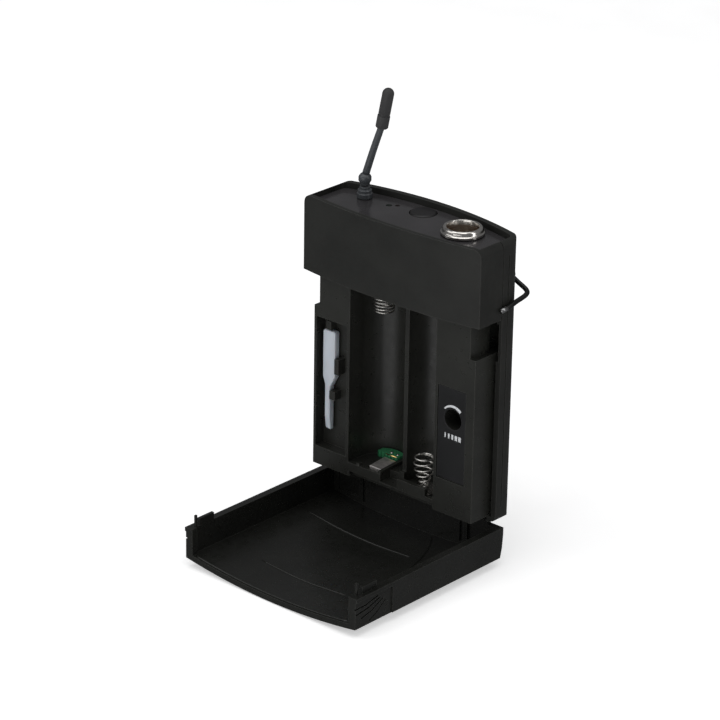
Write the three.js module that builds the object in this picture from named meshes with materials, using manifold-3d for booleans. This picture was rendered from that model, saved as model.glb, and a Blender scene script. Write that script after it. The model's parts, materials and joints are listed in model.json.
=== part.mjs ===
// Wireless bodypack transmitter: a clip-on case for two AA cells with a battery door
// that folds down, a whip antenna, a push button, a mini-XLR input and a wire belt clip.
// Millimetres, +Z up, +X to the wearer's side with the connector, -Y out of the battery side.
import * as THREE from "three";
import { mergeVertices } from "three/addons/utils/BufferGeometryUtils.js";
import Module from "manifold-3d";

const wasm = await Module();
wasm.setup();

// ---------- driving dimensions ----------
const caseWidth = 65;
const half = caseWidth / 2;
const frontBulge = 2.6; // how far the front face crowns forward of its side corners
const seamY = 9.6; // where the front parts meet the rear shell
const backCrownY = 21.3;
const backRadius = 107.6;
const shellCorner = 3.8;
const caseTop = 96.4;
const caseBottom = 11.5; // underside of the closed case
const headBottom = 73.7;
const wall = 1.7;
const seamGap = 0.3;
const edgeRound = 2.5;
const arcSegments = 15;

const panelTop = 94.7;
const panelThickness = 1.5;
const frontWall = 1.4;

const frameFront = 2;
const frameHalf = 30;
const frameBottom = 13.5;
const frameTop = headBottom - seamGap;
const frameBack = 15.6;
const neckHalf = 28;
const neckShoulder = 10; // behind this the neck is narrower, clear of the door's latches
const neckRear = 26.5;
const neckBottom = 62.9;

const cellRadius = 7.25; // AA cell
const bayRadius = cellRadius + 0.15;
const bayX = 8.4;
const bayY = 7.6;
const leftBaySlack = 0.6; // the left bay is this much wider on each side
const bayTop = 71.4;
const leftBayFloor = 17.8;
const rightBayFloor = 15.4;
const contactFloor = leftBayFloor - 2.2;
const crossbarTop = 18.5; // low wall in front of the right cell's spring
const crossbarBack = 3.4;
const footWall = { x0: -5, x1: -4, back: 14.6, frontTop: 18.6, backTop: 19.1 }; // between the two cells' feet
const footGap = { x1: 2.4, back: 6.5, floor: 15.5 };

const hingeY = 12.53;
const hingeZ = 12.53;
const pinRadius = 0.8;
const pinClearance = 0.1;

const doorEnd = 48.3; // free edge of the open door, measured forward from the front corners
const doorWall = 2.2;
const doorFloor = 1.7;
const doorWallHeight = 9.3;
const doorTail = 13.56;
const doorRearWall = 1.7;

const panelDepthGap = 0.15;
const connectorX = 17.3;
const connectorY = 10.1;
const connectorRadius = 6.2;
const connectorBore = 4.5;
const connectorTop = caseTop + 0.7;
const connectorRim = 5.3; // outer radius of the flat rim
const buttonX = -1.3;
const buttonY = 15.1;
const buttonRadius = 3.85;
const antennaX = -21;
const antennaY = 12.6;

const gainX = 22.3;
const gainZ = 43;
const gainHole = 3.05;

const clipWire = 0.7;
const clipPivotZ = 76.9;
const clipPivotY = seamY;
const clipSideX = 33.35;
const clipLegX = 13;
const clipLegY = 23.2;
const clipShoulderZ = 84.5;
const clipLoopZ = 38;
const clipFlare = 1.4;

// ---------- materials ----------
const plastic = (color, roughness) => new THREE.MeshStandardMaterial({ color, roughness, metalness: 0 });
const metal = (color, roughness) => new THREE.MeshStandardMaterial({ color, roughness, metalness: 1 });
const caseBlack = plastic(0x1d1e1d, 0.55);
const doorBlack = plastic(0x191a19, 0.4);
const frameBlack = plastic(0x202120, 0.5);
const panelGrey = plastic(0x2b292b, 0.3);
const buttonBlack = plastic(0x242224, 0.45);
const rubberBlack = plastic(0x121212, 0.8);
const cableBlack = plastic(0x151719, 0.35);
const nickel = metal(0xd9d4cc, 0.2);
const springSteel = metal(0xc9c6bf, 0.25);
const blackWire = metal(0x1a1a1b, 0.35);
const gold = metal(0xc9a14a, 0.3);
const brownInsert = plastic(0x4a3521, 0.5);
const boardGreen = plastic(0x1f5b38, 0.5);
const toolWhite = plastic(0xe4e6ea, 0.45);
const labelGrey = plastic(0x242524, 0.45);
const lensRed = plastic(0x3a0b0b, 0.15);
const lensGreen = plastic(0x0b2a12, 0.15);
const componentBlack = plastic(0x141414, 0.6);

// ---------- solid helpers ----------
function solid(geometry) {
  const bare = geometry.index ? geometry.toNonIndexed() : geometry.clone();
  bare.deleteAttribute("normal");
  bare.deleteAttribute("uv");
  const merged = mergeVertices(bare, 1e-4);
  return new wasm.Manifold(
    new wasm.Mesh({
      numProp: 3,
      vertProperties: new Float32Array(merged.attributes.position.array),
      triVerts: new Uint32Array(merged.index.array),
    }),
  );
}

function geometryOf(made) {
  const mesh = made.getMesh();
  const geometry = new THREE.BufferGeometry();
  geometry.setAttribute("position", new THREE.BufferAttribute(Float32Array.from(mesh.vertProperties), 3));
  geometry.setIndex(new THREE.BufferAttribute(Uint32Array.from(mesh.triVerts), 1));
  geometry.computeVertexNormals();
  return geometry;
}

const join = (...solids) => solids.reduce((a, b) => a.add(b));
const cut = (body, ...tools) => tools.reduce((a, b) => a.subtract(b), body);

// A box between two corners.
function box(x0, x1, y0, y1, z0, z1) {
  const geometry = new THREE.BoxGeometry(x1 - x0, y1 - y0, z1 - z0);
  return solid(geometry.translate((x0 + x1) / 2, (y0 + y1) / 2, (z0 + z1) / 2));
}

// An outline of [x, y] points drawn up from z0 to z1.
function prismZ(points, z0, z1) {
  const shape = new THREE.Shape(points.map(([x, y]) => new THREE.Vector2(x, y)));
  const geometry = new THREE.ExtrudeGeometry(shape, { depth: z1 - z0, bevelEnabled: false });
  return solid(geometry.translate(0, 0, z0));
}

// An outline of [x, z] points drawn back from y0 to y1.
function prismY(points, y0, y1) {
  const shape = new THREE.Shape(points.map(([x, z]) => new THREE.Vector2(x, z)));
  const geometry = new THREE.ExtrudeGeometry(shape, { depth: y1 - y0, bevelEnabled: false });
  return solid(geometry.rotateX(Math.PI / 2).translate(0, y1, 0));
}

// An outline of [y, z] points drawn across from x0 to x1.
function prismX(points, x0, x1) {
  const shape = new THREE.Shape(points.map(([y, z]) => new THREE.Vector2(y, z)));
  const geometry = new THREE.ExtrudeGeometry(shape, { depth: x1 - x0, bevelEnabled: false });
  const turn = new THREE.Matrix4().makeBasis(
    new THREE.Vector3(0, 1, 0),
    new THREE.Vector3(0, 0, 1),
    new THREE.Vector3(1, 0, 0),
  );
  return solid(geometry.applyMatrix4(turn).translate(x0, 0, 0));
}

// Round bars along each axis; `sides` sets how finely the circle is divided.
function barZ(x, y, radius, z0, z1, sides = 20) {
  const geometry = new THREE.CylinderGeometry(radius, radius, z1 - z0, sides);
  return solid(geometry.rotateX(Math.PI / 2).translate(x, y, (z0 + z1) / 2));
}

function barY(x, z, radius, y0, y1, sides = 20) {
  const geometry = new THREE.CylinderGeometry(radius, radius, y1 - y0, sides);
  return solid(geometry.translate(x, (y0 + y1) / 2, z));
}

function barX(y, z, radius, x0, x1, sides = 16) {
  const geometry = new THREE.CylinderGeometry(radius, radius, x1 - x0, sides);
  return solid(geometry.rotateZ(Math.PI / 2).translate((x0 + x1) / 2, y, z));
}

// A turned piece standing on +Z: [radius, z] points that start and end on the axis.
function turned(points, x, y, sides = 20) {
  const profile = points.map(([radius, z]) => new THREE.Vector2(radius, z));
  const geometry = new THREE.LatheGeometry(profile, sides);
  return solid(geometry.rotateX(Math.PI / 2).translate(x, y, 0));
}

// A round wire along a smooth curve.
function wire(points, radius, steps, sides = 8) {
  const path = new THREE.CatmullRomCurve3(points.map((p) => new THREE.Vector3(...p)), false, "centripetal");
  return wireAlong(path, radius, steps, sides);
}

function wireAlong(path, radius, steps, sides) {
  const section = new THREE.Shape(
    Array.from({ length: sides }, (_, i) => {
      const angle = (2 * Math.PI * (i + 0.5)) / sides;
      return new THREE.Vector2(radius * Math.cos(angle), radius * Math.sin(angle));
    }),
  );
  return solid(new THREE.ExtrudeGeometry(section, { steps, extrudePath: path, bevelEnabled: false }));
}

// The low and high ends of a stretch that lies on the left (-1) or right (+1) side.
const span = (side, near, far) => (side < 0 ? [-far, -near] : [near, far]);

const steps = (count) => Array.from({ length: count + 1 }, (_, i) => i / count);

// ---------- case outlines, seen from above ----------
const frontY = (x) => -frontBulge * (1 - (x / half) ** 2);
const backCentreY = backCrownY - backRadius;

// The crowned front edge from left to right, set in by `inset`.
function frontEdge(inset, sideInset = inset) {
  const reach = half - sideInset;
  return steps(arcSegments).map((t) => {
    const x = reach * (2 * t - 1);
    return [x, frontY(x) + inset];
  });
}

// The rear edge from right to left: rounded corners blended into the bowed back.
function backEdge(inset) {
  const radius = backRadius - inset;
  const corner = shellCorner - inset;
  const cornerX = half - shellCorner;
  const cornerY = backCentreY + Math.sqrt((backRadius - shellCorner) ** 2 - cornerX ** 2);
  const blend = Math.atan2(cornerY - backCentreY, cornerX);
  const right = steps(5).map((t) => {
    const angle = blend * t;
    return [cornerX + corner * Math.cos(angle), cornerY + corner * Math.sin(angle)];
  });
  const back = steps(arcSegments).map((t) => {
    const angle = blend + (Math.PI - 2 * blend) * t;
    return [radius * Math.cos(angle), backCentreY + radius * Math.sin(angle)];
  });
  const left = right.map(([x, y]) => [-x, y]).reverse();
  return [...right, ...back.slice(1, -1), ...left];
}

const wholeOutline = (inset, frontInset = inset) => [...frontEdge(frontInset, inset), ...backEdge(inset)];

// The case seen from the front, with its top corners (and bottom ones, if asked) rounded.
function roundedFront(z0, z1, bottomRound) {
  const corner = (x, z, radius, from) =>
    steps(4).map((t) => {
      const angle = from + (Math.PI / 2) * t;
      return [x + radius * Math.cos(angle), z + radius * Math.sin(angle)];
    });
  const bottom = bottomRound
    ? [
        ...corner(-half + bottomRound, z0 + bottomRound, bottomRound, Math.PI),
        ...corner(half - bottomRound, z0 + bottomRound, bottomRound, 1.5 * Math.PI),
      ]
    : [
        [-half, z0],
        [half, z0],
      ];
  const top = [
    ...corner(half - edgeRound, z1 - edgeRound, edgeRound, 0),
    ...corner(-half + edgeRound, z1 - edgeRound, edgeRound, Math.PI / 2),
  ];
  return prismY([...bottom, ...top], -10, 30);
}

// ---------- battery side of the head ----------
const screwPlaces = [
  [-27.2, 84],
  [27.2, 84],
  [-24, 22],
  [24, 22],
];
const screwHole = 1.2;

function headHousing() {
  const back = seamY - seamGap / 2;
  const outer = prismZ([...frontEdge(0), [half, back], [-half, back]], headBottom, caseTop);
  const inner = prismZ(
    [...frontEdge(frontWall, wall), [half - wall, back + 1], [-half + wall, back + 1]],
    headBottom + wall,
    caseTop + 1,
  );
  const ledgeTop = panelTop - panelThickness - panelDepthGap;
  const ledges = [-1, 1].map((side) => {
    const x = side * (half - wall - 0.7);
    return box(x - 0.9, x + 0.9, 2, back - 0.3, ledgeTop - 2, ledgeTop);
  });
  const posts = screwPlaces.slice(0, 2).map(([x, z]) =>
    cut(barY(x, z, 2.3, 0.2, 15.2, 12), barY(x, z, screwHole, 5, 16, 12)),
  );
  const clipNotch = barX(clipPivotY, clipPivotZ, clipWire + 0.15, -half - 1, half + 1);
  return cut(join(cut(outer, inner).intersect(roundedFront(headBottom, caseTop, 0)), ...ledges, ...posts), clipNotch);
}

// ---------- rear shell ----------
const sideGroove = { y: 11.9, width: 0.35, depth: 0.3 };

function rearShell() {
  const front = seamY + seamGap / 2;
  const outline = (inset, y) => [...backEdge(inset), [-half + inset, y], [half - inset, y]];
  const outer = prismZ(outline(0, front), caseBottom, caseTop)
    .intersect(roundedFront(caseBottom, caseTop, 2.6))
    .intersect(
      prismX(
        [
          [front, caseBottom + 0.7],
          [front + 0.7, caseBottom],
          [40, caseBottom],
          [40, caseTop],
          [front, caseTop],
        ],
        -half - 1,
        half + 1,
      ),
    );
  const inner = prismZ(outline(wall, front - 1), caseBottom + wall, caseTop + 1);
  const bosses = screwPlaces.map(([x, z]) => barY(x, z, 3.4, frameBack + seamGap, 17.2, 14));
  const bossReach = prismZ(outline(0.4, front), caseBottom, caseTop);
  const body = join(cut(outer, inner), ...bosses.map((boss) => boss.intersect(bossReach)));
  const holes = screwPlaces.flatMap(([x, z]) => [
    barY(x, z, 1.5, 10, 30, 12),
    barY(x, z, 2.9, 16.9, 30, 16),
  ]);
  const clipNotch = barX(clipPivotY, clipPivotZ, clipWire + 0.15, -half - 1, half + 1);
  const hingeRooms = [-1, 1].map((side) =>
    box(...span(side, earInner - 0.5, earOuter + 0.5), front - 1, hingeY + 2.6, caseBottom - 1, frameBottom),
  );
  const latchRoom = box(-31.5, 31.5, front - 1, 13.4, 60.8, 72);
  const sideGrooves = [-1, 1].map((side) =>
    box(...span(side, half - sideGroove.depth, half + 1), sideGroove.y, sideGroove.y + sideGroove.width, 16, 92),
  );
  return cut(body, ...holes, clipNotch, ...hingeRooms, latchRoom, ...sideGrooves);
}

// ---------- battery frame ----------
const boardFrontY = 10.8;
const toolX = -25.55;
const toolTop = 55.6;
const pocketBack = 5.7;
const knuckleX = 26;
const knuckleHalf = 1.9;
const knuckleRadius = 2.2;
const earThickness = 1.2;
const earInner = knuckleX - knuckleHalf - seamGap - earThickness;
const earOuter = knuckleX + knuckleHalf + seamGap + earThickness;
const earDepth = [hingeY - 1.6, hingeY + 1.6];

// A bay seen from above: a circle pulled apart sideways by `slack` to each side.
function bayOutline(x, slack) {
  return steps(32).flatMap((t) => {
    const angle = 2 * Math.PI * t - Math.PI / 2;
    const spot = (shift) => [x + shift + bayRadius * Math.cos(angle), bayY + bayRadius * Math.sin(angle)];
    if (t === 0) return [spot(slack)];
    if (t === 0.5) return [spot(slack), spot(-slack)];
    return [spot(t < 0.5 ? slack : -slack)];
  });
}

function batteryFrame() {
  const block = join(
    box(-frameHalf, frameHalf, frameFront, frameBack, frameBottom, neckBottom),
    box(-neckHalf, neckHalf, frameFront, neckShoulder, neckBottom, frameTop),
    box(-neckRear, neckRear, neckShoulder, frameBack, neckBottom, frameTop),
  ).intersect(prismZ(wholeOutline(wall + seamGap), 0, caseTop));
  const rounded = prismY(
    [
      [-frameHalf - 1, frameTop],
      [-frameHalf - 1, frameBottom - 1],
      [-frameHalf + 3, frameBottom - 4],
      [frameHalf - 3, frameBottom - 4],
      [frameHalf + 1, frameBottom - 1],
      [frameHalf + 1, frameTop],
    ],
    -1,
    30,
  );
  const bay = (side, z0, z1) => barZ(side * bayX, bayY, bayRadius, z0, z1, 32);
  const leftBay = prismZ(bayOutline(-bayX, leftBaySlack), leftBayFloor, bayTop);
  const rightBay = bay(1, crossbarTop, bayTop);
  const springWell = bay(1, rightBayFloor, crossbarTop + 0.1).intersect(
    box(0, 2 * bayX, crossbarBack, 2 * bayY, rightBayFloor - 1, crossbarTop + 1),
  );
  const leftMouthX = -bayX - bayRadius - leftBaySlack;
  const mouth = box(leftMouthX, bayX + bayRadius, 0, bayY, crossbarTop, bayTop);
  const leftMouth = box(leftMouthX, footWall.x1, 0, bayY, leftBayFloor, crossbarTop + 0.1);
  const feetGap = box(footWall.x1, footGap.x1, 0, footGap.back, footGap.floor, crossbarTop + 0.1);
  const pocket = box(-29.2, -17.4, 0, pocketBack, 19.2, 59.6);
  const labelRecess = box(16.7, 27, 0, frameFront + 0.5, 24, 52.4);
  const trimmerHole = barY(gainX, gainZ, gainHole + 0.2, 0, 20, 24);
  const crossbarRelief = box(-15.8, 15.8, 0, frameFront + 1.6, frameBottom - 1, rightBayFloor - 0.2);
  const contactSlot = box(-10.2, footWall.x0, 3.4, boardFrontY - 0.2, contactFloor, leftBayFloor + 1);
  const screwHoles = screwPlaces.slice(2).map(([x, z]) => barY(x, z, screwHole, 9.6, 20, 12));
  const knuckleRoom = [-1, 1].map((side) =>
    box(side * knuckleX - 2.6, side * knuckleX + 2.6, 8.8, hingeY + 2.6, frameBottom - 1, hingeZ + 2.9),
  );
  const trimmerRoom = box(gainX - 3.9, gainX + 3.9, 8.9, 20, gainZ - 3.9, gainZ + 3.9);
  const rightNotch = box(12.8, 15.8, 0, 4.4, 16.4, crossbarTop + 0.1);
  const body = cut(
    block.intersect(rounded),
    leftBay,
    rightBay,
    springWell,
    mouth,
    leftMouth,
    feetGap,
    pocket,
    labelRecess,
    trimmerHole,
    crossbarRelief,
    contactSlot,
    ...screwHoles,
    ...knuckleRoom,
    rightNotch,
    trimmerRoom,
  );
  const toolClips = [
    box(-22.9, -21.3, 2.8, pocketBack + 0.2, 43, 47.7),
    box(-24.7, -22.6, 2.8, pocketBack + 0.2, 34.8, 37.4),
    box(toolX - 0.9, toolX + 0.9, 3.2, pocketBack + 0.2, toolTop + 0.4, toolTop + 3),
  ];
  const cellGuards = [
    prismX(
      [
        [frameFront + 0.1, leftBayFloor - 1],
        [footWall.back, leftBayFloor - 1],
        [footWall.back, footWall.backTop],
        [frameFront + 0.1, footWall.frontTop],
      ],
      footWall.x0,
      footWall.x1,
    ),
    box(-13.2, -12.2, frameFront + 0.1, frameFront + 1.3, leftBayFloor - 1, crossbarTop),
  ];
  const ears = [-1, 1].flatMap((side) => [
    box(...span(side, earInner, earInner + earThickness), ...earDepth, hingeZ - 1.7, frameBottom + 1),
    box(...span(side, earOuter - earThickness, earOuter), ...earDepth, hingeZ - 1.7, frameBottom + 1),
  ]);
  const pinHole = barX(hingeY, hingeZ, pinRadius + pinClearance, -29.4, 29.4, 16);
  return cut(join(body, ...toolClips, ...cellGuards, ...ears), pinHole);
}

// ---------- battery door ----------
const latch = { front: -44.6, length: 5.8, top: 11.4 };
const catchPost = { inner: 30.1, outer: 30.7, front: -46.4, back: -45.7, top: 12.9 };
const gripLength = 14.8;
const gripTop = 8.1;
const gripDepth = 0.4;
const grooveDepth = 0.5;
const grooveWidth = 0.5;
const grooveSag = 0.5;
const grooveCount = 5;
const slotDepth = 0.55;

// One of the fanned finger grooves, t from 0 for the flattest to 1 for the steepest.
function gripGroove(side, t) {
  const low = [-doorEnd - 0.5 + 11 * t * t, 6.3 - 7 * t];
  const high = [-doorEnd + 9.3 + 4 * t, 7.5 - 3 * t];
  const bend = [(low[0] + high[0]) / 2, (low[1] + high[1]) / 2 - grooveSag];
  const lowerSide = [high, bend, low].map(([y, z]) => [y, z - grooveWidth]);
  return prismX([low, bend, high, ...lowerSide], ...span(side, half - gripDepth - grooveDepth, half + 1));
}

function batteryDoor() {
  const innerHalf = half - doorWall;
  const outerArc = frontEdge(0);
  const innerArc = frontEdge(doorFloor, doorWall).reverse();
  const tray = prismY(
    [...outerArc, [half, doorWallHeight], [innerHalf, doorWallHeight], ...innerArc,
      [-innerHalf, doorWallHeight], [-half, doorWallHeight]],
    -doorEnd,
    doorTail,
  );
  const rearWall = prismY(
    [...outerArc, [half, doorWallHeight], [-half, doorWallHeight]],
    doorTail - doorRearWall,
    doorTail,
  );
  const sideProfile = prismX(
    [
      [-doorEnd, -4],
      [11.4, -4],
      [12.3, -1],
      [13.2, 3],
      [doorTail, 7],
      [doorTail, 20],
      [-doorEnd, 20],
    ],
    -half - 1,
    half + 1,
  );
  const grips = [-1, 1].map((side) =>
    box(...span(side, half - gripDepth, half + 1), -doorEnd - 1, -doorEnd + gripLength, -3, gripTop),
  );
  const slots = [-1, 1].map((side) =>
    box(...span(side, 17.8, 19.2), 0, doorTail - doorRearWall + slotDepth, 0.8, doorWallHeight + 1)
      .intersect(box(-half, half, doorTail - doorRearWall - 0.1, doorTail, 0, doorWallHeight + 2)),
  );
  const windows = [-1, 1].map((side) =>
    box(...span(side, 20.6, 28.8), doorTail - doorRearWall - 1, doorTail - 1, 1.9, 7.6),
  );
  const grooves = [-1, 1].flatMap((side) =>
    Array.from({ length: grooveCount }, (_, i) => gripGroove(side, i / (grooveCount - 1))),
  );
  const posts = [-1, 1].map((side) => box(...span(side, 29.6, 31.5), -doorEnd, -doorEnd + 2, 0.8, doorWallHeight));
  const latches = [-1, 1].map((side) =>
    box(...span(side, innerHalf, 31.2), latch.front, latch.front + latch.length, doorWallHeight - 1, latch.top),
  );
  const catches = [-1, 1].map((side) =>
    box(...span(side, catchPost.inner, catchPost.outer), catchPost.front, catchPost.back, 0.8, catchPost.top),
  );
  const knuckles = [-1, 1].map((side) => {
    const [x0, x1] = span(side, knuckleX - knuckleHalf, knuckleX + knuckleHalf);
    return join(
      barX(hingeY, hingeZ, knuckleRadius, x0, x1, 20),
      box(x0, x1, doorTail - doorRearWall, doorTail, doorWallHeight - 1, hingeZ),
    );
  });
  const pinHole = barX(hingeY, hingeZ, pinRadius + pinClearance, -half, half, 16);
  const body = cut(join(tray, rearWall).intersect(sideProfile), ...grips, ...grooves, ...slots, ...windows);
  return cut(join(body, ...posts, ...latches, ...catches, ...knuckles), pinHole);
}

function hingePin(side) {
  return barX(hingeY, hingeZ, pinRadius, ...span(side, earInner + 0.1, earOuter - 0.1), 16);
}

// ---------- top panel and what it carries ----------
const ledPlaces = { led_power: [-12.1, 12.9, 0.8], led_mute: [-10.2, 14.3, 0.6] };
const panelBottom = panelTop - panelThickness;

function topPanel() {
  const plate = prismZ(wholeOutline(wall + panelDepthGap, frontWall + panelDepthGap), panelBottom, panelTop);
  return cut(
    plate,
    barZ(antennaX, antennaY, 1.75, 80, 100, 20),
    barZ(connectorX, connectorY, 5.55, 80, 100, 28),
    barZ(buttonX, buttonY, buttonRadius + 0.2, 80, 100, 28),
    ...Object.values(ledPlaces).map(([x, y, radius]) => barZ(x, y, radius + 0.1, 80, 100, 12)),
  );
}

const lens = (x, y, radius) => barZ(x, y, radius, panelBottom - 1.5, panelTop + 0.1, 12);

function buttonCap() {
  const top = panelTop + 0.35;
  return turned(
    [
      [0, panelBottom - 1.6],
      [1.1, panelBottom - 1.6],
      [1.1, panelBottom - 0.5],
      [buttonRadius - 0.2, panelBottom - 0.5],
      [buttonRadius - 0.2, panelBottom - 0.1],
      [buttonRadius, panelBottom],
      [buttonRadius, top - 0.35],
      [buttonRadius - 0.4, top],
      [0, top + 0.1],
    ],
    buttonX,
    buttonY,
    28,
  );
}

function tactSwitch() {
  const top = panelBottom - 2.4;
  return box(buttonX - 2.6, buttonX + 2.6, buttonY - 2.6, buttonY + 2.6, top - 2.6, top);
}

function connectorRing() {
  return turned(
    [
      [connectorBore, connectorTop],
      [connectorBore, panelBottom - 7],
      [5.3, panelBottom - 7],
      [5.3, panelTop + 0.15],
      [connectorRadius, panelTop + 0.15],
      [connectorRadius, connectorTop - 1.1],
      [connectorRim, connectorTop],
      [connectorBore, connectorTop],
    ],
    connectorX,
    connectorY,
    32,
  );
}

const socketFloor = panelBottom - 4;
const pinCircle = 2.3;
const pinPlaces = [0, 1, 2, 3].map((i) => {
  const angle = (Math.PI / 4) * (2 * i + 1);
  return [connectorX + pinCircle * Math.cos(angle), connectorY + pinCircle * Math.sin(angle)];
});

function connectorInsert() {
  const disc = barZ(connectorX, connectorY, connectorBore - 0.15, panelBottom - 7, socketFloor, 28);
  return cut(disc, ...pinPlaces.map(([x, y]) => barZ(x, y, 0.6, panelBottom - 8, socketFloor + 1, 10)));
}

const connectorPin = ([x, y]) => {
  const top = panelTop - 2.2;
  return turned([[0, panelBottom - 9], [0.5, panelBottom - 9], [0.5, top - 0.4], [0.3, top], [0, top]], x, y, 10);
};

// ---------- antenna ----------
const beadZ = 100.35;
const beadRadius = 1.85;
const beadGap = 0.3;
const collarTop = beadZ - beadRadius - beadGap;
const antennaBend = [
  [antennaX + 0.3, antennaY, beadZ + beadRadius + beadGap],
  [antennaX + 3.1, antennaY, 110],
  [antennaX + 6, antennaY, 117.4],
  [antennaX + 8.4, antennaY, 128.7],
];

function antennaCollar() {
  return turned(
    [
      [0, panelBottom - 2],
      [1.6, panelBottom - 2],
      [1.6, panelTop + 0.15],
      [2.25, panelTop + 0.15],
      [2.25, 97],
      [1.7, 97.3],
      [1.7, collarTop - 0.2],
      [1.4, collarTop],
      [0, collarTop],
    ],
    antennaX,
    antennaY,
    20,
  );
}

function antennaBead() {
  const profile = steps(10).map((t) => {
    const angle = Math.PI * (t - 0.5);
    return [Math.max(beadRadius * Math.cos(angle), 0), beadZ + beadRadius * Math.sin(angle)];
  });
  return turned(profile, antennaX, antennaY, 16);
}

function antennaRod() {
  return wire(antennaBend.slice(0, 3), 1, 8, 10);
}

function antennaTip() {
  const [from, to] = [antennaBend[2], antennaBend[3]].map((p) => new THREE.Vector3(...p));
  const length = from.distanceTo(to);
  const profile = [
    [0, 0.3],
    [1.45, 0.3],
    [1.8, 0.7],
    [1.8, 2.7],
    [1.6, 2.9],
    [1.6, 3.2],
    [1.8, 3.4],
    [1.8, length - 0.8],
    [1.25, length + 0.3],
    [0, length + 0.6],
  ].map(([radius, y]) => new THREE.Vector2(radius, y));
  const geometry = new THREE.LatheGeometry(profile, 16);
  const turn = new THREE.Quaternion().setFromUnitVectors(
    new THREE.Vector3(0, 1, 0),
    to.clone().sub(from).normalize(),
  );
  return solid(geometry.applyQuaternion(turn).translate(from.x, from.y, from.z));
}

// ---------- belt clip ----------
function beltClip() {
  const rightHalf = [
    [30.9, clipPivotY, clipPivotZ],
    [32.6, clipPivotY, clipPivotZ],
    [clipSideX, clipPivotY + 0.9, clipPivotZ + 0.1],
    [clipSideX, clipPivotY + 5, clipPivotZ + 1],
    [clipSideX, clipPivotY + 9, clipPivotZ + 1.8],
    [clipSideX - 1.2, clipPivotY + 10.8, clipPivotZ + 2.4],
    [clipSideX - 5, clipPivotY + 11.6, clipPivotZ + 3.6],
    [22, clipLegY - 0.5, clipShoulderZ - 2.2],
    [clipLegX + 3, clipLegY, clipShoulderZ],
    [clipLegX, clipLegY, clipShoulderZ - 3],
    [clipLegX, clipLegY, 65],
    [clipLegX, clipLegY, 50],
    [clipLegX - 1, clipLegY + 0.4, clipLoopZ + 6],
    [clipLegX - 5, clipLegY + clipFlare, clipLoopZ + 0.6],
  ];
  const leftHalf = rightHalf.map(([x, y, z]) => [-x, y, z]).reverse();
  const loopEnd = [0, clipLegY + clipFlare, clipLoopZ];
  return wire([...rightHalf, loopEnd, ...leftHalf], clipWire, 96, 8);
}

// ---------- cells' springs and contacts ----------
// A coil from z0 to z1 whose radius follows radiusAt(t) for t from 0 to 1.
function coil(x, y, z0, z1, turns, radiusAt, wireRadius) {
  class Helix extends THREE.Curve {
    getPoint(t, target = new THREE.Vector3()) {
      const angle = 2 * Math.PI * turns * t;
      const radius = radiusAt(t);
      return target.set(x + radius * Math.cos(angle), y + radius * Math.sin(angle), z0 + (z1 - z0) * t);
    }
  }
  return wireAlong(new Helix(), wireRadius, Math.round(turns * 12), 5);
}

const springWire = 0.3;
const plateThickness = 0.3;
const springRightX = bayX - 0.6;
const springRightTop = 25.2;
const springRightRadius = (t) => 0.9 + 2.1 * Math.sin(0.7 * Math.PI * t) ** 2; // narrow foot, widest near the top
const springRight = () =>
  coil(springRightX, bayY, rightBayFloor + 0.9, springRightTop, 6, springRightRadius, springWire);
const springLeft = () => coil(-bayX, bayY, bayTop - 5.8, bayTop - 0.9, 6, (t) => 2.6 + 0.5 * t, 0.25);
const plateHalf = 3.9;
const platesAt = (side, z) =>
  box(side * bayX - plateHalf, side * bayX + plateHalf, bayY - plateHalf, bayY + plateHalf, z, z + plateThickness);
const springPlateRight = () => platesAt(1, rightBayFloor + 0.1);
const springPlateLeft = () => platesAt(-1, bayTop - 0.1 - plateThickness);
const contactRight = () => platesAt(1, bayTop - 0.1 - plateThickness);

// A strip folded into a C at the foot of the left bay; its upper leg slants up to meet the cell.
function contactLeft() {
  const foot = contactFloor + 0.1;
  const thickness = 0.3;
  const back = boardFrontY - 0.5;
  return prismX(
    [
      [3.7, foot],
      [back, foot],
      [back, foot + thickness],
      [3.7 + thickness, foot + thickness],
      [3.7 + thickness, leftBayFloor + 0.6 - thickness],
      [back, leftBayFloor + 1.1 - thickness],
      [back, leftBayFloor + 1.1],
      [3.7, leftBayFloor + 0.6],
    ],
    -9.6,
    -5.3,
  );
}

// A small board lying in the back of the left bay's foot, round like the cell.
const contactBoard = () =>
  barZ(-bayX, bayY, bayRadius - 0.3, leftBayFloor + 0.1, leftBayFloor + 2, 32).intersect(
    box(-12.8, footWall.x0 - 0.2, boardFrontY, 2 * bayY, leftBayFloor, leftBayFloor + 3),
  );

// ---------- electronics ----------
const boardFront = frameBack + 0.4;
const mainBoard = () => box(-19, 19, boardFront, boardFront + 1, 24, 86.6);
const rfShield = () => box(-9, 7, boardFront + 1.05, boardFront + 2.6, 50, 68);
const controlBoard = () => box(-15, 9.5, 3, 17.9, panelBottom - 6.2, panelBottom - 5.15);
const trimmerBody = () =>
  cut(box(gainX - 3.6, gainX + 3.6, 9.2, 13, gainZ - 3.6, gainZ + 3.6), barY(gainX, gainZ, 2.4, 8, 10.6, 20));

function gainRotor() {
  const rotor = barY(gainX, gainZ, 2.2, 7.4, 10.3, 20);
  return cut(rotor, box(gainX - 0.35, gainX + 0.35, 7, 8.3, gainZ - 1.7, gainZ + 1.7));
}

const gainLabel = () =>
  cut(box(16.9, 26.8, frameFront + 0.15, frameFront + 0.45, 24.2, 52.2), barY(gainX, gainZ, gainHole, 0, 5, 24));

// ---------- trimming tool kept in the battery frame ----------
const toolFront = 3.4;
const toolBack = 5.4;
const toolHalf = 2.35;
const shaftX = -26;
const shaftHalf = 1;

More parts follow.
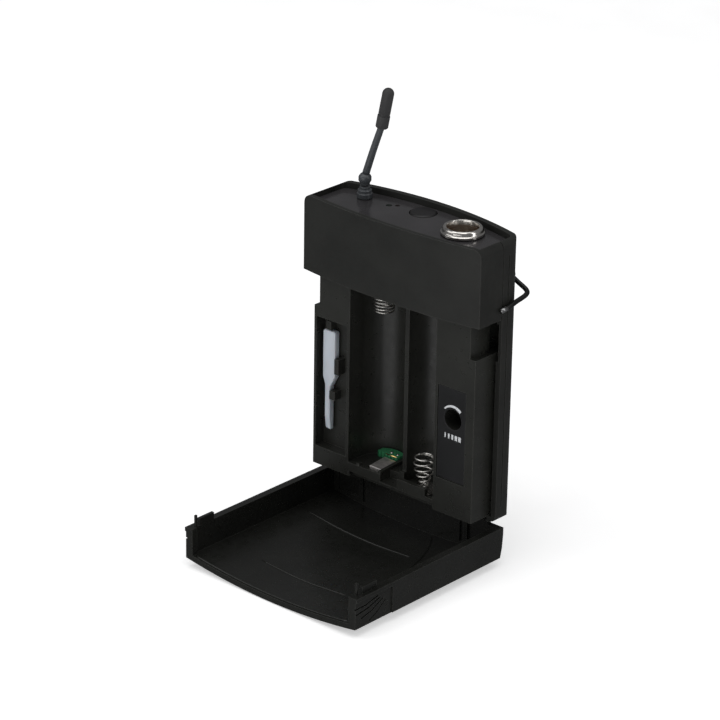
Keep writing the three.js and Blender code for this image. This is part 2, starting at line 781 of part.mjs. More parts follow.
function trimTool() {
  const outline = [
    [shaftX - shaftHalf, 24.9],
    [shaftX + shaftHalf, 24.6],
    [shaftX + shaftHalf, 38.2],
    [toolX + toolHalf - 0.3, 41],
    [toolX + toolHalf, 41.5],
    [toolX + toolHalf, toolTop - 0.5],
    [toolX + toolHalf - 0.5, toolTop],
    [toolX - toolHalf + 0.5, toolTop],
    [toolX - toolHalf, toolTop - 0.5],
    [toolX - toolHalf, 41],
    [shaftX - shaftHalf, 38.6],
  ];
  const blade = prismX(
    [
      [toolBack - 1, 20],
      [toolFront, 29],
      [toolFront, 60],
      [toolBack, 60],
      [toolBack, 29],
      [toolBack - 0.4, 20],
    ],
    -35,
    -15,
  );
  return prismY(outline, 3, 7).intersect(blade);
}

// ---------- case screws, driven in from the back ----------
function caseScrew([x, z]) {
  const back = 18.4;
  const head = join(barY(x, z, 2.6, 17, back, 16), barY(x, z, 1, 9.8, 17.2, 12));
  return cut(head, box(x - 1.7, x + 1.7, back - 0.7, back + 1, z - 0.3, z + 0.3), box(x - 0.3, x + 0.3, back - 0.7, back + 1, z - 1.7, z + 1.7));
}

// ---------- assembly ----------
const transmitter = new THREE.Group();
const assembly = new THREE.Group();
const rearmost = clipLegY + clipFlare + clipWire;
// The crowned front is faceted, so its middle facet lies a little short of the full bulge.
const crownDepth = frontBulge * (1 - 1 / arcSegments ** 2);
assembly.position.set(0, (doorEnd - rearmost) / 2, crownDepth);
transmitter.add(assembly);

function place(name, made, material) {
  const mesh = new THREE.Mesh(geometryOf(made), material);
  mesh.name = name;
  assembly.add(mesh);
}

place("head_housing", headHousing(), caseBlack);
place("rear_shell", rearShell(), caseBlack);
place("battery_frame", batteryFrame(), frameBlack);
place("battery_door", batteryDoor(), doorBlack);
place("hinge_pin_left", hingePin(-1), springSteel);
place("hinge_pin_right", hingePin(1), springSteel);
place("top_panel", topPanel(), panelGrey);
for (const [name, [x, y, radius]] of Object.entries(ledPlaces)) {
  place(name, lens(x, y, radius), name === "led_mute" ? lensRed : lensGreen);
}
place("mute_button", buttonCap(), buttonBlack);
place("tact_switch", tactSwitch(), componentBlack);
place("connector_ring", connectorRing(), nickel);
place("connector_insert", connectorInsert(), brownInsert);
pinPlaces.forEach((spot, i) => place("connector_pin_" + (i + 1), connectorPin(spot), gold));
place("antenna_collar", antennaCollar(), cableBlack);
place("antenna_bead", antennaBead(), cableBlack);
place("antenna_rod", antennaRod(), cableBlack);
place("antenna_tip", antennaTip(), rubberBlack);
place("belt_clip", beltClip(), blackWire);
place("cell_spring_left", springLeft(), springSteel);
place("cell_spring_right", springRight(), springSteel);
place("spring_plate_left", springPlateLeft(), nickel);
place("spring_plate_right", springPlateRight(), nickel);
place("contact_left", contactLeft(), nickel);
place("contact_right", contactRight(), nickel);
place("contact_board", contactBoard(), boardGreen);
place("main_board", mainBoard(), boardGreen);
place("rf_shield", rfShield(), nickel);
place("control_board", controlBoard(), boardGreen);
place("trimmer_body", trimmerBody(), componentBlack);
place("gain_rotor", gainRotor(), componentBlack);
place("gain_label", gainLabel(), labelGrey);
place("trim_tool", trimTool(), toolWhite);
screwPlaces.forEach((spot, i) => place("case_screw_" + (i + 1), caseScrew(spot), springSteel));

export default transmitter;
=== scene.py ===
import json
import math

import bmesh
import bpy
from mathutils import Matrix, Vector


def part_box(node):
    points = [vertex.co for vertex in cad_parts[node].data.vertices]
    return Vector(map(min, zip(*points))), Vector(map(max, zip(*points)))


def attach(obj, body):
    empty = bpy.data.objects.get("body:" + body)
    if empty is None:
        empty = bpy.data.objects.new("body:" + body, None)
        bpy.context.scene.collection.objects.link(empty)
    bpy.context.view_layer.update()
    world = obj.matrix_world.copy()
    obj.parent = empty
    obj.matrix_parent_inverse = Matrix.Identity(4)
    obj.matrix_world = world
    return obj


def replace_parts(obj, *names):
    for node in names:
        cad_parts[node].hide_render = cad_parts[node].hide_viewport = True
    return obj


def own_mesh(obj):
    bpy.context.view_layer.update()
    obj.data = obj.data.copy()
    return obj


# Looks for the wireless bodypack transmitter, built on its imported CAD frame.
# Places written in millimetres are in the case's own frame: x across the case to the right,
# y back from the front side corners, z up from the outer edge of the open door.

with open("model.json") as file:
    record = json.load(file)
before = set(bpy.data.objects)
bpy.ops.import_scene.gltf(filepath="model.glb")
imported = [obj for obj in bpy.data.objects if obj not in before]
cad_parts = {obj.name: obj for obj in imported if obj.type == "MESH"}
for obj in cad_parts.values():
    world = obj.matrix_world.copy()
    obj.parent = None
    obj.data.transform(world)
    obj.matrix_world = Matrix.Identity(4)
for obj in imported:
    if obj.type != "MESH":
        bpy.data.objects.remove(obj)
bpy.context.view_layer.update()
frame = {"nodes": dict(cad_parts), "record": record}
nodes = frame["nodes"]

MM = 0.001
DOOR_REACH = 48.3
CASE_TOP = 96.4
CASE_ORIGIN = Vector(
    (0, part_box("battery_door")[0].y + DOOR_REACH * MM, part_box("head_housing")[1].z - CASE_TOP * MM)
)


def at(x, y, z):
    return CASE_ORIGIN + Vector((x, y, z)) * MM


def middle(node):
    low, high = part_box(node)
    return (low + high) / 2


# ---------------------------------------------------------------- stage

CAMERA_TARGET = Vector((-0.0191, 0.0211, 0.0491))
CAMERA_AZIMUTH = math.radians(41.6)
CAMERA_ELEVATION = math.radians(23.1)
CAMERA_ROLL = math.radians(0.93)
CAMERA_DISTANCE = 0.953
CAMERA_LENS = 166.5
CAMERA_SENSOR = 36


def direction(azimuth, elevation):
    """The unit vector from the object towards a viewer at these angles."""
    flat = math.cos(elevation)
    return Vector((math.sin(azimuth) * flat, -math.cos(azimuth) * flat, math.sin(elevation)))


def add_camera():
    data = bpy.data.cameras.new("camera")
    data.lens = CAMERA_LENS
    data.sensor_width = CAMERA_SENSOR
    data.clip_start = 0.05
    data.clip_end = 20
    camera = bpy.data.objects.new("camera", data)
    bpy.context.scene.collection.objects.link(camera)
    back = direction(CAMERA_AZIMUTH, CAMERA_ELEVATION)
    turn = back.to_track_quat("Z", "Y").to_matrix().to_4x4()
    place = Matrix.Translation(CAMERA_TARGET + back * CAMERA_DISTANCE)
    camera.matrix_world = place @ turn @ Matrix.Rotation(CAMERA_ROLL, 4, "Z")
    bpy.context.scene.camera = camera


def add_softbox(name, azimuth, elevation, distance, width, height, power):
    data = bpy.data.lights.new(name, "AREA")
    data.shape = "RECTANGLE"
    data.size = width
    data.size_y = height
    data.energy = power
    light = bpy.data.objects.new(name, data)
    bpy.context.scene.collection.objects.link(light)
    back = direction(math.radians(azimuth), math.radians(elevation))
    light.location = CAMERA_TARGET + back * distance
    light.rotation_euler = back.to_track_quat("Z", "Y").to_euler()


def add_world(strength):
    world = bpy.data.worlds.new("studio")
    world.use_nodes = True
    background = world.node_tree.nodes["Background"]
    background.inputs["Color"].default_value = (0.97, 0.98, 1, 1)
    background.inputs["Strength"].default_value = strength
    bpy.context.scene.world = world


FLOOR_HALF = 6
FLOOR_LEVEL = -0.0002


def add_floor():
    mesh = bpy.data.meshes.new("floor")
    corners = [(-1, -1), (1, -1), (1, 1), (-1, 1)]
    mesh.from_pydata([(x * FLOOR_HALF, y * FLOOR_HALF, FLOOR_LEVEL) for x, y in corners], [], [(0, 1, 2, 3)])
    floor = bpy.data.objects.new("floor", mesh)
    bpy.context.scene.collection.objects.link(floor)
    material, links, shader, tree = new_material("floor_paper")
    shader.inputs["Roughness"].default_value = 0.9
    shader.inputs["Specular IOR Level"].default_value = 0.1
    shade = speckle(tree, 40, 2)
    ramp = two_tone(tree, shade, (0.93, 0.93, 0.93), (0.95, 0.95, 0.95))
    links.new(ramp, shader.inputs["Base Color"])
    links.new(ramp, shader.inputs["Emission Color"])
    shader.inputs["Emission Strength"].default_value = 0.5
    floor.data.materials.append(material)
    floor.visible_glossy = False
    floor.visible_shadow = False


# ---------------------------------------------------------------- materials

def new_material(name):
    material = bpy.data.materials.new(name)
    material.use_nodes = True
    tree = material.node_tree
    shader = tree.nodes["Principled BSDF"]
    return material, tree.links, shader, tree


def speckle(tree, scale, detail, stretch=(1, 1, 1), roughness=0.5):
    """Noise over the object's own coordinates, `scale` lumps to a metre."""
    place = tree.nodes.new("ShaderNodeTexCoord")
    mapping = tree.nodes.new("ShaderNodeMapping")
    mapping.inputs["Scale"].default_value = stretch
    noise = tree.nodes.new("ShaderNodeTexNoise")
    noise.inputs["Scale"].default_value = scale
    noise.inputs["Detail"].default_value = detail
    noise.inputs["Roughness"].default_value = roughness
    tree.links.new(place.outputs["Object"], mapping.inputs["Vector"])
    tree.links.new(mapping.outputs["Vector"], noise.inputs["Vector"])
    return noise.outputs["Fac"]


def spread(tree, value, low, high, start=0.3, end=0.7):
    """`value` from start..end mapped to low..high."""
    mapped = tree.nodes.new("ShaderNodeMapRange")
    mapped.inputs["From Min"].default_value = start
    mapped.inputs["From Max"].default_value = end
    mapped.inputs["To Min"].default_value = low
    mapped.inputs["To Max"].default_value = high
    tree.links.new(value, mapped.inputs["Value"])
    return mapped.outputs["Result"]


def two_tone(tree, value, dark, light, start=0.35, end=0.65):
    ramp = tree.nodes.new("ShaderNodeValToRGB")
    ramp.color_ramp.elements[0].position = start
    ramp.color_ramp.elements[0].color = (*dark, 1)
    ramp.color_ramp.elements[1].position = end
    ramp.color_ramp.elements[1].color = (*light, 1)
    tree.links.new(value, ramp.inputs["Fac"])
    return ramp.outputs["Color"]


def mix_colour(tree, factor, first, second):
    mix = tree.nodes.new("ShaderNodeMix")
    mix.data_type = "RGBA"
    tree.links.new(factor, mix.inputs["Factor"])
    tree.links.new(first, mix.inputs["A"])
    mix.inputs["B"].default_value = (*second, 1)
    return mix.outputs["Result"]


# Reach and strength of the edge lightening, which is partly wear and partly a painted highlight.
EDGE_WEAR_AND_HIGHLIGHT_REACH = 0.35 * MM
EDGE_WEAR_AND_HIGHLIGHT_AMOUNT = 0.8


def edge_wear_and_highlight(tree, reach, amount):
    """1 on outer edges, 0 on flats: how far the rounded normal leans from the true one; these edges are
    lightened partly as wear, partly as a painted highlight.
    """
    rounded = tree.nodes.new("ShaderNodeBevel")
    rounded.samples = 4
    rounded.inputs["Radius"].default_value = reach
    true = tree.nodes.new("ShaderNodeNewGeometry")
    dot = tree.nodes.new("ShaderNodeVectorMath")
    dot.operation = "DOT_PRODUCT"
    tree.links.new(rounded.outputs["Normal"], dot.inputs[0])
    tree.links.new(true.outputs["Normal"], dot.inputs[1])
    return spread(tree, dot.outputs["Value"], amount, 0, 0.8, 0.99)


def bump(tree, height, depth, strength, shader):
    node = tree.nodes.new("ShaderNodeBump")
    node.inputs["Distance"].default_value = depth
    node.inputs["Strength"].default_value = strength
    tree.links.new(height, node.inputs["Height"])
    tree.links.new(node.outputs["Normal"], shader.inputs["Normal"])


def moulded(name, colour, roughness, grain=2600, depth=0.00003, strength=0.35, shine=0.35):
    """Moulded plastic: spark-eroded grain, uneven sheen, a little colour drift, and edges lightened partly
    as wear and partly as a painted highlight.
    """
    material, links, shader, tree = new_material(name)
    drift = speckle(tree, 90, 4)
    deep = tuple(0.86 * c for c in colour)
    pale = tuple(1.14 * c for c in colour)
    tone = two_tone(tree, drift, deep, pale)
    # Lighter colour on the edges: partly wear, partly a painted highlight.
    rubbed_and_highlit = tuple(2.6 * c + 0.012 for c in colour)
    tone = mix_colour(tree, edge_wear_and_highlight(tree, EDGE_WEAR_AND_HIGHLIGHT_REACH, EDGE_WEAR_AND_HIGHLIGHT_AMOUNT), tone, rubbed_and_highlit)
    links.new(tone, shader.inputs["Base Color"])
    sheen = spread(tree, speckle(tree, 500, 3), roughness - 0.06, roughness + 0.07)
    links.new(sheen, shader.inputs["Roughness"])
    shader.inputs["Specular IOR Level"].default_value = shine
    bump(tree, speckle(tree, grain, 2, roughness=0.6), depth, strength, shader)
    return material


SCRATCHES = 1800


def plated(name, colour, roughness, strength=0.08):
    """Plated or drawn metal: fine scratches, uneven polish and a faint stain."""
    material, links, shader, tree = new_material(name)
    shader.inputs["Metallic"].default_value = 1
    stained = tuple(0.78 * c for c in colour)
    links.new(two_tone(tree, speckle(tree, 700, 4), stained, colour), shader.inputs["Base Color"])
    lines = speckle(tree, SCRATCHES, 3)
    links.new(spread(tree, lines, roughness - 0.06, roughness + 0.1), shader.inputs["Roughness"])
    bump(tree, lines, 0.00001, strength, shader)
    return material


def circuit_board(name):
    """Green solder mask over copper tracks."""
    material, links, shader, tree = new_material(name)
    place = tree.nodes.new("ShaderNodeTexCoord")
    tracks = tree.nodes.new("ShaderNodeTexBrick")
    tracks.inputs["Scale"].default_value = 420
    tracks.inputs["Mortar Size"].default_value = 0.09
    tracks.inputs["Color1"].default_value = (0.012, 0.1, 0.04, 1)
    tracks.inputs["Color2"].default_value = (0.014, 0.12, 0.05, 1)
    tracks.inputs["Mortar"].default_value = (0.04, 0.24, 0.1, 1)
    links.new(place.outputs["Object"], tracks.inputs["Vector"])
    links.new(tracks.outputs["Color"], shader.inputs["Base Color"])
    links.new(spread(tree, speckle(tree, 900, 2), 0.28, 0.42), shader.inputs["Roughness"])
    bump(tree, tracks.outputs["Fac"], 0.00004, 0.5, shader)
    return material


def nylon(name):
    """Natural nylon: translucent white with faint flow marks."""
    material, links, shader, tree = new_material(name)
    flow = speckle(tree, 260, 3, stretch=(1, 1, 0.25))
    links.new(two_tone(tree, flow, (0.42, 0.455, 0.5), (0.5, 0.54, 0.59)), shader.inputs["Base Color"])
    links.new(spread(tree, speckle(tree, 600, 2), 0.38, 0.5), shader.inputs["Roughness"])
    shader.inputs["Subsurface Weight"].default_value = 0.12
    shader.inputs["Subsurface Scale"].default_value = 0.001
    bump(tree, speckle(tree, 1500, 2), 0.00002, 0.3, shader)
    return material


def printed(name, colour):
    """Screen-printed ink with slightly ragged cover."""
    material, links, shader, tree = new_material(name)
    thin = tuple(0.82 * c for c in colour)
    links.new(two_tone(tree, speckle(tree, 3000, 3), thin, colour), shader.inputs["Base Color"])
    links.new(spread(tree, speckle(tree, 2500, 2), 0.5, 0.65), shader.inputs["Roughness"])
    return material


def lens_plastic(name, colour):
    """A clear tinted lens over an unlit lamp."""
    material, links, shader, tree = new_material(name)
    deep = tuple(0.5 * c for c in colour)
    links.new(two_tone(tree, speckle(tree, 1500, 2), deep, colour), shader.inputs["Base Color"])
    links.new(spread(tree, speckle(tree, 900, 2), 0.06, 0.14), shader.inputs["Roughness"])
    shader.inputs["Specular IOR Level"].default_value = 0.15
    return material


MATERIALS = {
    "case": moulded("case_plastic", (0.0145, 0.0149, 0.0131), 0.46, shine=0.4),
    "frame": moulded("frame_plastic", (0.0175, 0.018, 0.0155), 0.32, grain=3200, strength=0.16, shine=0.5),
    "door": moulded("door_plastic", (0.0105, 0.0108, 0.0094), 0.3, grain=3200, strength=0.14, shine=0.4),
    "panel": moulded("panel_plastic", (0.038, 0.036, 0.038), 0.17, grain=3600, strength=0.08, shine=0.45),
    "button": moulded("button_plastic", (0.014, 0.0135, 0.014), 0.42, grain=3000, strength=0.2),
    "component": moulded("component_resin", (0.012, 0.012, 0.012), 0.55, grain=4000, strength=0.3),
    "label": moulded("label_film", (0.0125, 0.0128, 0.0135), 0.4, grain=3600, strength=0.12),
    "insert": moulded("insert_resin", (0.05, 0.026, 0.011), 0.45, grain=3000, strength=0.25),
    "antenna": moulded("antenna_jacket", (0.055, 0.06, 0.066), 0.32, grain=1800, strength=0.15, shine=0.6),
    "rubber": moulded("tip_rubber", (0.04, 0.04, 0.041), 0.55, grain=2200, strength=0.4),
    "nickel": plated("nickel_plate", (0.78, 0.75, 0.71), 0.16),
    "steel": plated("zinc_steel", (0.5, 0.5, 0.5), 0.3),
    "gold": plated("gold_flash", (0.75, 0.52, 0.2), 0.22),
    "spring_steel": plated("spring_wire", (0.85, 0.83, 0.79), 0.3, strength=0.02),
    "clip_wire": moulded(
        "black_oxide_wire", (0.006, 0.006, 0.006), 0.3, grain=2400, strength=0.12, shine=0.4
    ),
    "board": circuit_board("solder_mask"),
    "tool": nylon("natural_nylon"),
    "lens_green": lens_plastic("lens_tinted_green", (0.004, 0.009, 0.005)),
    "lens_red": lens_plastic("lens_tinted_red", (0.01, 0.004, 0.004)),
}
NODE_MATERIALS = {"contact_left": plated("worn_nickel", (0.85, 0.81, 0.79), 0.45, strength=0.05)}
WHITE_INK = printed("white_ink", (0.72, 0.74, 0.76))


# ---------------------------------------------------------------- CAD nodes

FINE_EDGE = 0.12
NODE_EDGES = {
    "head_housing": 0.5,
    "rear_shell": 0.4,
    "battery_frame": 0.28,
    "battery_door": 0.28,
    "trim_tool": 0.35,
    "top_panel": 0.15,
}
SHARP = math.radians(35)


def refine(node, edge):
    """Clean facets, soft edges and smooth shading, all by modifiers on the unchanged CAD mesh."""
    for face in node.data.polygons:
        face.use_smooth = True
    weld = node.modifiers.new("weld", "WELD")
    weld.merge_threshold = 0.000002
    flats = node.modifiers.new("flats", "DECIMATE")
    flats.decimate_type = "DISSOLVE"
    flats.angle_limit = math.radians(0.6)
    bevel = node.modifiers.new("edges", "BEVEL")
    bevel.width = edge * MM
    bevel.segments = 2
    bevel.limit_method = "ANGLE"
    bevel.angle_limit = SHARP
    bevel.harden_normals = True
    node.modifiers.new("normals", "WEIGHTED_NORMAL").keep_sharp = True


def dress_cad_nodes():
    slots = {part["node"]: part["material_slot"] for part in frame["record"]["subparts"]}
    for name, node in nodes.items():
        node.data.materials.clear()
        node.data.materials.append(NODE_MATERIALS.get(name, MATERIALS[slots[name]]))
        refine(node, NODE_EDGES.get(name, FINE_EDGE))


# ---------------------------------------------------------------- mesh making

def piece(name, slot, body, build, material=None):
    """A closed mesh piece made by `build(bm)`, in its slot's material, riding on `body`."""
    bm = bmesh.new()
    build(bm)
    bmesh.ops.recalc_face_normals(bm, faces=bm.faces)
    for face in bm.faces:
        face.smooth = True
    mesh = bpy.data.meshes.new(name)
    bm.to_mesh(mesh)
    bm.free()
    made = bpy.data.objects.new(name, mesh)
    bpy.context.scene.collection.objects.link(made)
    made.data.materials.append(material or MATERIALS[slot])
    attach(made, body)
    return made


def soften(made, width, segments=3):
    bevel = made.modifiers.new("edges", "BEVEL")
    bevel.width = width * MM
    bevel.segments = segments
    bevel.limit_method = "ANGLE"
    bevel.angle_limit = SHARP
    bevel.harden_normals = True
    return made


def bridge(bm, rings, closed):
    """Quads between each ring and the next, and back to the first one if `closed`."""
    count = len(rings[0])
    pairs = list(zip(rings, rings[1:])) + ([(rings[-1], rings[0])] if closed else [])
    for near, far in pairs:
        for i in range(count):
            j = (i + 1) % count
            bm.faces.new((near[i], near[j], far[j], far[i]))


def turned(bm, profile, base, axis=Vector((0, 0, 1)), sides=64, closed=False):
    """A turned solid: [radius, height] points in millimetres about `axis` from `base`."""
    spin = Vector((0, 0, 1)).rotation_difference(axis)
    rings = []
    for radius, height in profile:
        ring = []
        for i in range(sides):
            angle = 2 * math.pi * i / sides
            place = Vector((radius * math.cos(angle), radius * math.sin(angle), height)) * MM
            ring.append(bm.verts.new(base + spin @ place))
        rings.append(ring)
    bridge(bm, rings, closed)
    if not closed:
        bm.faces.new(rings[0])
        bm.faces.new(rings[-1])


def wire(bm, path, radius_at, sides=14):
    """A round wire along the points of `path`, its radius in millimetres at t from 0 to 1."""
    count = len(path)
    forward = (path[1] - path[0]).normalized()
    side = forward.orthogonal().normalized()
    rings = []
    for i, place in enumerate(path):
        ahead = (path[min(i + 1, count - 1)] - path[max(i - 1, 0)]).normalized()
        side = (forward.rotation_difference(ahead) @ side).normalized()
        forward = ahead
        up = forward.cross(side)
        radius = radius_at(i / (count - 1)) * MM
        ring = []
        for k in range(sides):
            a = 2 * math.pi * k / sides
            ring.append(bm.verts.new(place + radius * (math.cos(a) * side + math.sin(a) * up)))
        rings.append(ring)
    bridge(bm, rings, False)
    bm.faces.new(rings[0])
    bm.faces.new(rings[-1])


def smooth_path(points, per_span):
    """Catmull-Rom points through `points`, `per_span` to each stretch."""
    ends = [2 * points[0] - points[1], *points, 2 * points[-1] - points[-2]]
    path = []
    for a, b, c, d in zip(ends, ends[1:], ends[2:], ends[3:]):
        for i in range(per_span):
            t = i / per_span
            square = (2 * a - 5 * b + 4 * c - d) * t**2
            cube = (3 * b - a - 3 * c + d) * t**3
            path.append(0.5 * (2 * b + (c - a) * t + square + cube))
    return path + [points[-1]]


def block(bm, low, high):
    """A box between two corners given in millimetres in the case's frame."""
    made = bmesh.ops.create_cube(bm, size=1)
    size = Vector(high) - Vector(low)
    centre = at(*((Vector(low) + Vector(high)) / 2))
    place = Matrix.Translation(centre) @ Matrix.Diagonal((*(size * MM), 1))
    bmesh.ops.transform(bm, matrix=place, verts=made["verts"])


# ---------------------------------------------------------------- antenna

ROD_RADIUS = 1.05
JACKET_FOOT = 1.08
JACKET_TOP = 0.96
TIP_LOW_RADIUS = 1.8
TIP_RADIUS = 1.68


def antenna_path():
    """The rod's middle line, from the bead to the sleeve, and the sleeve's end."""
    rod_low, rod_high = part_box("antenna_rod")
    tip_low, tip_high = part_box("antenna_tip")
    y = middle("antenna_rod").y
    foot = Vector((rod_low.x + ROD_RADIUS * MM, y, rod_low.z + 0.25 * MM))
    joint = Vector((rod_high.x - 0.9 * MM, y, rod_high.z))
    end = Vector((tip_high.x - 1.55 * MM, y, tip_high.z - 0.25 * MM))
    bend = foot.lerp(joint, 0.5) + Vector((-0.12, 0, 0)) * MM
    return foot, bend, joint, end


def make_antenna():
    collar = middle("antenna_collar")
    base = Vector((collar.x, collar.y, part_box("top_panel")[1].z))
    top = (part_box("antenna_collar")[1].z - base.z) / MM
    profile = [(1.6, -3), (1.6, 0.15), (2.1, 0.15), (2.22, 0.27), (2.22, 1.5), (2.1, 1.62), (1.8, 1.72)]
    profile += [(1.8, 1.95), (2.0, 2.05), (2.0, 2.5), (1.85, 2.62), (1.5, 2.7), (1.5, top - 0.1), (1.4, top)]
    made = piece("antenna_collar_turned", "antenna", "root", lambda bm: turned(bm, profile, base))
    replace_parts(soften(made, 0.06), "antenna_collar")

    bead = middle("antenna_bead")
    low = -1.8
    barrel = [(0.9, low), (1.25, low + 0.08), (1.45, low + 0.5), (1.5, low + 1.0)]
    barrel += [(1.78, low + 1.25), (1.85, low + 1.45), (1.85, low + 2.5), (1.7, low + 2.8)]
    barrel += [(1.35, low + 3.3), (0.95, low + 3.6)]
    made = piece("antenna_bead_turned", "antenna", "antenna_bead", lambda bm: turned(bm, barrel, bead))
    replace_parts(made, "antenna_bead")

    foot, bend, joint, end = antenna_path()
    path = smooth_path([foot, bend, joint], 12)

    def jacket(bm):
        wire(bm, path, lambda t: JACKET_FOOT + (JACKET_TOP - JACKET_FOOT) * t, 24)

    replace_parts(piece("antenna_rod_jacket", "antenna", "antenna_whip", jacket), "antenna_rod")

    length = (end - joint).length / MM
    dome = [(TIP_RADIUS * math.cos(a), length - TIP_RADIUS * (1 - math.sin(a))) for a in arc(0, 85, 8)]
    sleeve = [(1.2, 0), (1.2, -0.5), (1.7, -0.6), (TIP_LOW_RADIUS, -0.45), (TIP_LOW_RADIUS, 2.9)]
    sleeve += [(1.7, 3.05), (1.42, 3.1), (1.42, 3.4), (1.6, 3.45), (TIP_RADIUS, 3.6)]
    made = piece(
        "antenna_tip_sleeve",
        "rubber",
        "antenna_whip",
        lambda bm: turned(bm, sleeve + dome, joint, (end - joint).normalized(), 40),
    )
    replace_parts(made, "antenna_tip")


def arc(start, stop, count):
    """Angles in radians from start to stop degrees."""
    return [math.radians(start + (stop - start) * i / count) for i in range(count + 1)]


# ---------------------------------------------------------------- connector

RING_BORE = 4.5
THREADS = 9
THREAD_PITCH = 0.22
THREAD_TOP = -1.4
KEY_HALF = 0.55


def make_connector():
    ring = middle("connector_ring")
    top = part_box("connector_ring")[1].z
    base = Vector((ring.x, ring.y, top))
    shell = [(RING_BORE, -0.4), (RING_BORE, -10.9), (5.3, -10.9), (5.3, -2.2), (6.0, -2.2)]
    shell += [(6.18, -2.05), (6.18, -1.5), (6.05, -1.35), (5.85, -1.25), (5.7, -0.95), (5.62, -0.55)]
    shell += [(5.45, -0.2), (5.25, -0.04), (5.1, 0), (4.75, 0), (4.62, -0.08)]

    def ring_shell(bm):
        turned(bm, shell, base, sides=96, closed=True)

    made = piece("connector_ring_turned", "nickel", "root", ring_shell)
    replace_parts(soften(made, 0.05, 2), "connector_ring")

    def threads(bm):
        for i in range(THREADS):
            z = THREAD_TOP - THREAD_PITCH * i
            crest = [(RING_BORE - 0.02, z), (RING_BORE - 0.12, z - 0.06), (RING_BORE - 0.02, z - 0.12)]
            turned(bm, crest, base, sides=64, closed=True)

    piece("connector_bore_rings", "insert", "root", threads)

    def key(bm):
        x, y, z = (base - CASE_ORIGIN) / MM
        block(bm, (x - KEY_HALF, y + 3.6, z - 7.1), (x + KEY_HALF, y + 4.35, z - 2.9))

    soften(piece("connector_key", "insert", "root", key), 0.12)


# ---------------------------------------------------------------- springs

SPRING_WIRE = 0.26
SPRING_TURNS = 6.5


def spring_path(node, low, high, turns, radius_at):
    """A compression spring's wire between two heights, its end turns lying flat."""
    centre = middle(node)
    steps_per_turn = 28
    count = round(turns * steps_per_turn)
    path = []
    for i in range(count + 1):
        t = i / count
        flat = 0.9 / turns
        climb = min(max((t - flat) / (1 - 2 * flat), 0), 1)
        rise = 0.07 * t + 0.93 * climb
        angle = 2 * math.pi * turns * t
        radius = radius_at(t) * MM
        x = centre.x + radius * math.cos(angle)
        y = centre.y + radius * math.sin(angle)
        path.append(Vector((x, y, low + (high - low) * rise)))
    return path


def make_spring(node, turns, radius_at):
    low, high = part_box(node)
    path = spring_path(node, low.z + SPRING_WIRE * MM, high.z - SPRING_WIRE * MM, turns, radius_at)

    def coil(bm):
        wire(bm, path, lambda t: SPRING_WIRE, 10)

    made = piece(node + "_wound", "spring_steel", "root", coil)
    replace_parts(made, node)
    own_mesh(made)


def make_springs():
    def left_radius(t):
        return 2.6 + 0.45 * t

    def right_radius(t):
        return 0.9 + 2.1 * math.sin(0.7 * math.pi * t) ** 2

    make_spring("cell_spring_left", SPRING_TURNS, left_radius)
    make_spring("cell_spring_right", SPRING_TURNS, right_radius)


# ---------------------------------------------------------------- belt clip

CLIP_WIRE = 0.7
CLIP_SIDE = 33.35
CLIP_PIVOT = (9.6, 76.9)


def clip_path():
    """The wire's middle line: hooked into both sides, round the case and down to the belt loop."""
    side_x = CLIP_SIDE
    pivot_y, pivot_z = CLIP_PIVOT
    half = [
        (31.2, pivot_y, pivot_z),
        (32.5, pivot_y, pivot_z),
        (side_x, pivot_y + 0.9, pivot_z + 0.1),
        (side_x, pivot_y + 5, pivot_z + 1),
        (side_x, pivot_y + 9, pivot_z + 1.8),
        (side_x - 1.2, pivot_y + 10.8, pivot_z + 2.4),
        (side_x - 5, pivot_y + 11.6, pivot_z + 3.6),
        (22, 22.7, 82.3),
        (16, 23.2, 84.5),
        (13, 23.2, 81.5),
        (13, 23.2, 65),
        (13, 23.2, 50),
        (12, 23.6, 44),
        (8, 24.6, 38.6),
    ]
    right = [at(*spot) for spot in half]
    left = [at(-x, y, z) for x, y, z in reversed(half)]
    return smooth_path([*right, at(0, 24.6, 38), *left], 8)


def make_belt_clip():
    path = clip_path()
    made = piece(
        "belt_clip_wire", "clip_wire", "belt_clip", lambda bm: wire(bm, path, lambda t: CLIP_WIRE, 20)
    )
    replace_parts(made, "belt_clip")

    def wire_ends(bm):
        for side in (-1, 1):
            run = [at(side * CLIP_SIDE, 8.1, 76.85), at(side * CLIP_SIDE, 10.4, 77.05)]
            wire(bm, run, lambda t: CLIP_WIRE + 0.02, 20)

    piece("belt_clip_bare_ends", "steel", "belt_clip", wire_ends)


# ---------------------------------------------------------------- contact board

def make_contact_pad():
    low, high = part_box("contact_board")
    floor = (high - CASE_ORIGIN) / MM
    left, right = -9.6, floor.x - 0.25
    front, back = floor.y - 4.2, floor.y - 1.6

    def pad(bm):
        block(bm, (left, front, floor.z - 0.1), (right, back, floor.z - 0.002))

    def solder(bm):
        for x in (left + 0.9, right - 0.9):
            dome = [(0.55, -0.09), (0.5, 0.04), (0.36, 0.16), (0.15, 0.22)]
            turned(bm, dome, at(x, back - 0.8, floor.z), sides=20)

    piece("contact_board_pad", "gold", "root", pad)
    piece("contact_board_solder", "nickel", "root", solder)


# ---------------------------------------------------------------- gain scale

MARKS = 5
MARK_PITCH = 1.3
MARK_HALF = 0.75
MARKS_BELOW = 5.3


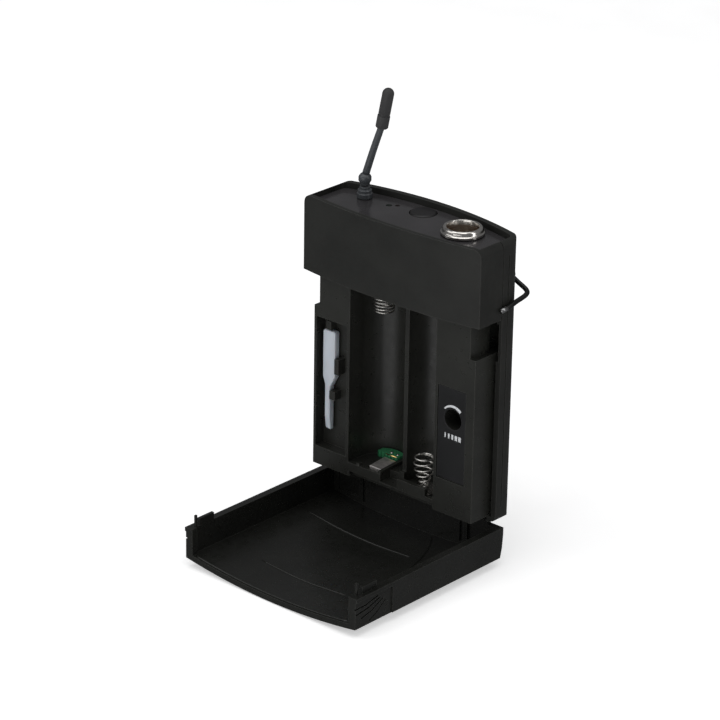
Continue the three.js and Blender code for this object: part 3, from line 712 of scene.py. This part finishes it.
def make_gain_scale():
    rotor = middle("gain_rotor")
    face_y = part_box("gain_label")[0].y
    lift = 0.04 * MM

    def band(bm, angles, inner, outer):
        front, back = [], []
        for i, angle in enumerate(angles):
            t = i / (len(angles) - 1)
            for reach in (inner(t), outer(t)):
                x = rotor.x + reach * MM * math.cos(angle)
                z = rotor.z + reach * MM * math.sin(angle)
                front.append(bm.verts.new((x, face_y - lift, z)))
                back.append(bm.verts.new((x, face_y + lift, z)))
        for i in range(len(angles) - 1):
            a, b, c, d = 2 * i, 2 * i + 1, 2 * i + 3, 2 * i + 2
            bm.faces.new((front[a], front[b], front[c], front[d]))
            bm.faces.new((back[d], back[c], back[b], back[a]))
            bm.faces.new((front[a], front[d], back[d], back[a]))
            bm.faces.new((front[b], back[b], back[c], front[c]))
        for k in (0, 2 * len(angles) - 2):
            bm.faces.new((front[k], front[k + 1], back[k + 1], back[k]))

    def scale(bm):
        band(bm, arc(140, 47, 24), lambda t: 3.75 - 0.25 * t, lambda t: 4.2 + 0.25 * t)

    def marks(bm):
        centre = (rotor - CASE_ORIGIN) / MM
        y = (face_y - CASE_ORIGIN.y) / MM
        z = centre.z - MARKS_BELOW
        for i in range(MARKS):
            x = centre.x + MARK_PITCH * (i - (MARKS - 1) / 2)
            width = 0.2 + 0.06 * MARK_PITCH * i
            block(bm, (x - width, y - 0.04, z - MARK_HALF), (x + width, y + 0.04, z + MARK_HALF))

    piece("gain_scale_arc", "label", "root", scale, WHITE_INK)
    piece("gain_scale_marks", "label", "root", marks, WHITE_INK)


# ---------------------------------------------------------------- door floor

def crown_floor(x):
    """Height of the tray's floor above the case frame's zero, at x across the door."""
    half_width, bulge, thickness = 32.5, 2.6, 1.7
    return thickness - bulge * (1 - (x / half_width) ** 2)


def make_door_ridges():
    routes = [
        [(-27, -4), (-13, -4.3), (0, -4.3), (13, -4)],
        [(8.7, 10.5), (13, 3.9), (16.7, -5), (20.4, -18.8)],
        [(-15.8, -34.5), (0, -34.8), (16, -34.3)],
    ]
    heights = (0.32, 0.32, 0.22)

    def ridges(bm):
        for route, height in zip(routes, heights):
            path = smooth_path([at(x, y, crown_floor(x) + height - 0.3) for x, y in route], 8)
            wire(bm, path, lambda t: 0.15 + 0.2 * math.sin(math.pi * t) ** 0.5, 10)

    piece("door_floor_ridges", "door", "battery_door", ridges)

    def lip(bm):
        path = [at(x, -47.6, crown_floor(x) + 0.1) for x in [-29 + 58 * i / 30 for i in range(31)]]
        wire(bm, path, lambda t: 0.35, 10)

    piece("door_free_lip", "door", "battery_door", lip)


def make_details():
    make_antenna()
    make_connector()
    make_springs()
    make_belt_clip()
    make_contact_pad()
    make_gain_scale()
    make_door_ridges()


# ---------------------------------------------------------------- scene

add_camera()
add_world(0.15)
add_floor()
add_softbox("overhead", 20, 80, 1.6, 1.8, 1.8, 15)
add_softbox("left_front", -40, 35, 1.4, 0.9, 0.9, 3)
add_softbox("front", 12, 9, 1.3, 1.1, 0.3, 2.2)
add_softbox("low_front", 8, -18, 1.2, 1.3, 0.5, 1.6)
add_softbox("right_strip", 105, 30, 1.3, 0.3, 1.0, 2)
bpy.context.scene.view_settings.view_transform = "Standard"

dress_cad_nodes()
make_details()
